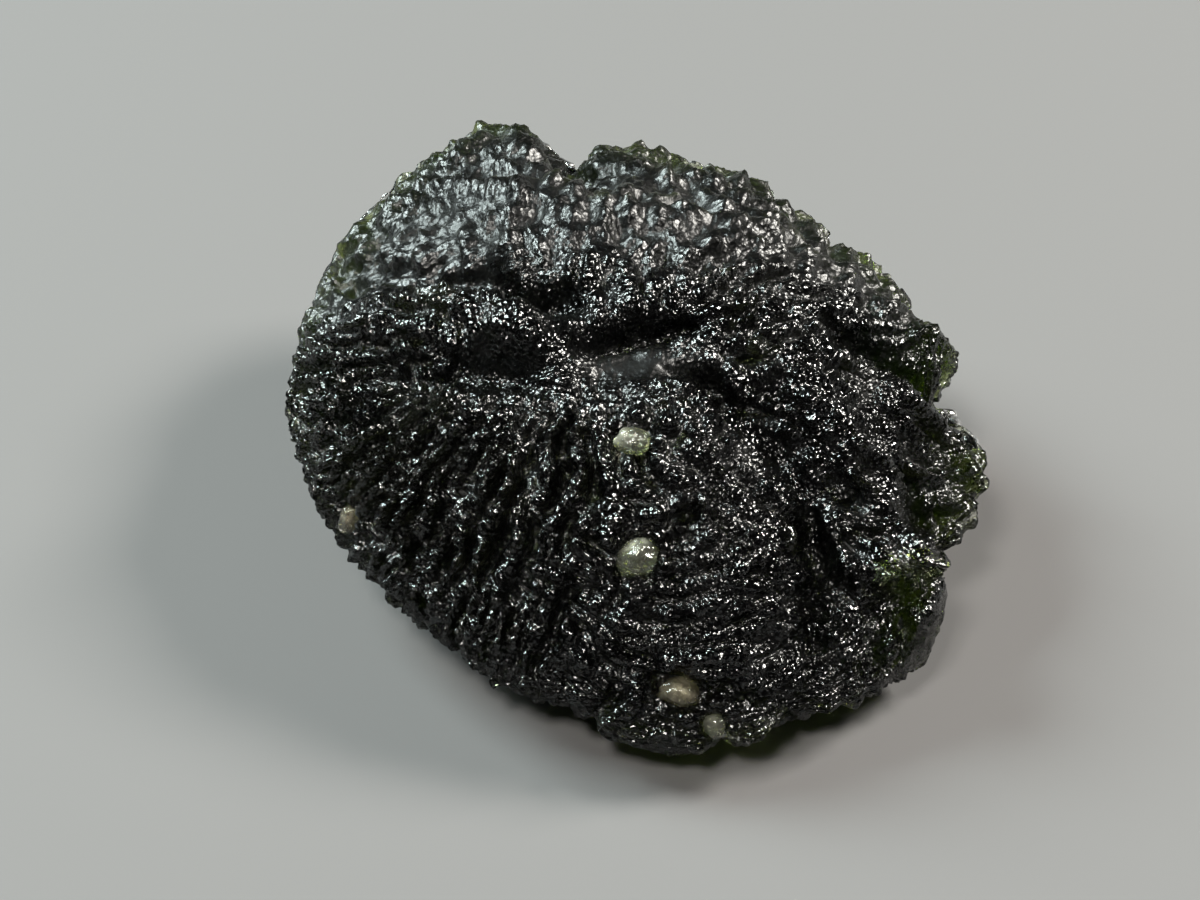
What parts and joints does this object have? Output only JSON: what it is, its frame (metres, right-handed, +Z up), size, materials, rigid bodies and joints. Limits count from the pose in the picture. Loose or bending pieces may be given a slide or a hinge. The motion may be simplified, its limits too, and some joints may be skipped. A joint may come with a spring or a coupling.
{
  "type": "moldavite",
  "caption": "Bun-shaped natural glass stone, etched into radial ridges around a dimple, with thin notched edges and quartz sand grains lodged in pits.",
  "frame": {"origin": "middle of the stone's plan box, on the surface that its flat spot rests on", "axes": "+Z up from the resting surface, -Y towards the low front lip, +X to the right as seen from the front"},
  "size_m": [0.03, 0.0322, 0.0139],
  "materials": {
    "natural_glass": "glossy etched glass, nearly black where it is thick and olive green where it is thin",
    "quartz_pale": "worn, cloudy, see-through",
    "quartz_tan": "worn, cloudy, see-through"
  },
  "bodies": {
    "root": {"moldavite": "natural_glass", "sand_grain_crest": "quartz_pale", "sand_grain_front": "quartz_pale", "sand_grain_low": "quartz_tan", "sand_grain_lip": "quartz_pale", "sand_grain_left": "quartz_tan"}
  },
  "joints": []
}
